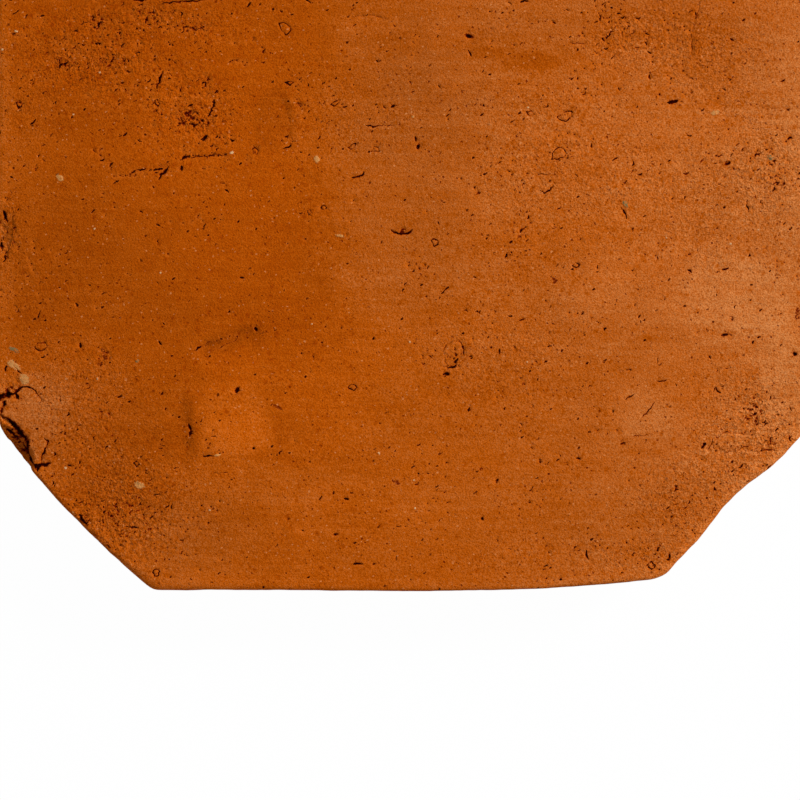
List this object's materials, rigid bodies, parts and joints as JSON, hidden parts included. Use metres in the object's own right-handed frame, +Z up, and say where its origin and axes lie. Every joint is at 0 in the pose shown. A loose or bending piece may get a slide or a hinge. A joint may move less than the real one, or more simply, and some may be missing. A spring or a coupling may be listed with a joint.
{
  "type": "octagonal terracotta tile",
  "caption": "Hand-moulded terracotta floor tile, a square slab with cut corners, bowed sides, worn edges, an uneven pitted face and one broken corner.",
  "frame": {"origin": "middle of the bed, the flat lower face that the tile lies on", "axes": "+Z up from the bed to the wearing face; +X to the right and +Y to the back as the tile lies; the front side, towards -Y, runs along X"},
  "size_m": [0.2, 0.2, 0.0227],
  "materials": {
    "terracotta": "unglazed fired clay, matt, sandy, pitted and worn"
  },
  "bodies": {
    "root": {"tile": "terracotta"}
  },
  "joints": []
}
